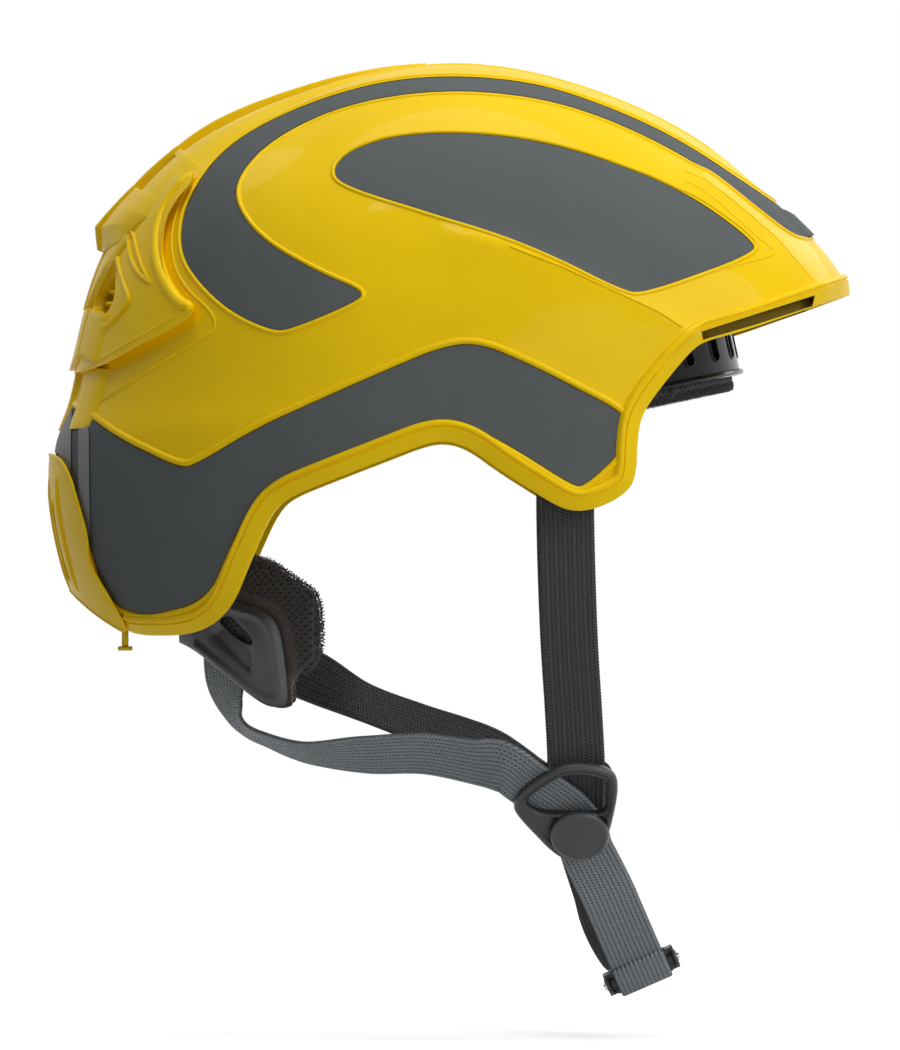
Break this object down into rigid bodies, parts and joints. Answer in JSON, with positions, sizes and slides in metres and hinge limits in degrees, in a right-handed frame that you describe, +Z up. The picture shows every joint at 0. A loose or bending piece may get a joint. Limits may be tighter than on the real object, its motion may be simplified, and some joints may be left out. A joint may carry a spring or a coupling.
{
  "type": "climbing helmet",
  "caption": "Climbing and work safety helmet: moulded shell with inset panels, rear vents, slotted brow cage, geared nape adjuster and webbing chin straps with a side release buckle.",
  "frame": {"origin": "centre of the head's seat inside the shell, held by the wearer's head", "axes": "+X to the front, +Y to the wearer's left, +Z up"},
  "size_m": [0.2964, 0.2252, 0.3452],
  "materials": {
    "shell_yellow": "satin moulded plastic",
    "inlay_grey": "fine grained soft plastic",
    "strip_grey": "retroreflective film",
    "foam_white": "expanded foam",
    "cage_black": "glossy moulded plastic",
    "plate_grey": "satin moulded plastic",
    "black_plastic": "satin moulded plastic",
    "pad_black": "padded knit",
    "webbing_grey": "woven webbing",
    "webbing_black": "woven webbing",
    "steel": "plated"
  },
  "bodies": {
    "helmet": {"outer_shell": "shell_yellow", "crown_inlay": "inlay_grey", "side_inlay_right": "inlay_grey", "side_inlay_left": "inlay_grey", "lower_inlay_right": "inlay_grey", "lower_inlay_left": "inlay_grey", "reflective_strips": "strip_grey", "rear_spine": "shell_yellow", "rear_cover": "shell_yellow", "impact_liner": "foam_white", "crown_pad": "pad_black", "brow_cage": "cage_black", "brow_pad": "pad_black", "headband_right": "black_plastic", "headband_left": "black_plastic", "adjuster_bracket": "black_plastic", "adjuster_housing": "black_plastic", "adjuster_lid": "plate_grey", "front_anchor_right": "black_plastic", "front_anchor_left": "black_plastic", "front_strap_right": "webbing_black", "front_strap_left": "webbing_black", "rear_strap_right": "webbing_grey", "rear_strap_left": "webbing_black", "divider_right": "black_plastic", "divider_left": "black_plastic", "divider_cap_right": "plate_grey", "divider_cap_left": "plate_grey", "chin_strap_right": "webbing_grey", "buckle_socket": "black_plastic", "housing_screws": "steel"},
    "knob": {"adjuster_knob": "black_plastic", "adjuster_pinion": "steel"},
    "wing_right": {"nape_rack_right": "plate_grey", "nape_wing_right": "plate_grey", "nape_pad_right": "pad_black"},
    "wing_left": {"nape_rack_left": "plate_grey", "nape_wing_left": "plate_grey", "nape_pad_left": "pad_black"},
    "plug": {"buckle_plug": "black_plastic", "chin_strap_left": "webbing_black"},
    "prong_front": {"buckle_prong_front": "black_plastic"},
    "prong_rear": {"buckle_prong_rear": "black_plastic"}
  },
  "joints": [
    {"name": "knob_turn", "type": "hinge", "parent": "helmet", "child": "knob", "pos_m": [-0.112, 0, -0.068], "axis": [1, 0, 0], "range_deg": [-60, 60]},
    {"name": "wing_right_slide", "type": "slide", "parent": "helmet", "child": "wing_right", "axis": [0, -1, 0], "range_m": [-0.0063, 0.0063], "deforming": ["rear_strap_right"]},
    {"name": "wing_left_slide", "type": "slide", "parent": "helmet", "child": "wing_left", "axis": [0, 1, 0], "range_m": [-0.0063, 0.0063], "deforming": ["rear_strap_left"]},
    {"name": "buckle_release", "type": "slide", "parent": "helmet", "child": "plug", "axis": [0, 1, 0], "range_m": [0, 0.03], "deforming": ["chin_strap_left", "buckle_prong_front", "buckle_prong_rear"]},
    {"name": "prong_front_flex", "type": "hinge", "parent": "plug", "child": "prong_front", "pos_m": [0.08099, 0.0123, -0.2069], "axis": [0.3987, 0, -0.9171], "range_deg": [0, 10], "stiffness_Nm_per_rad": 0.02},
    {"name": "prong_rear_flex", "type": "hinge", "parent": "plug", "child": "prong_rear", "pos_m": [0.06081, 0.0123, -0.2157], "axis": [-0.3987, 0, 0.9171], "range_deg": [0, 10], "stiffness_Nm_per_rad": 0.02}
  ],
  "couplings": [
    {"joint": "wing_right_slide", "follows": "knob_turn", "m_per_rad": 0.006},
    {"joint": "wing_left_slide", "follows": "knob_turn", "m_per_rad": 0.006}
  ]
}
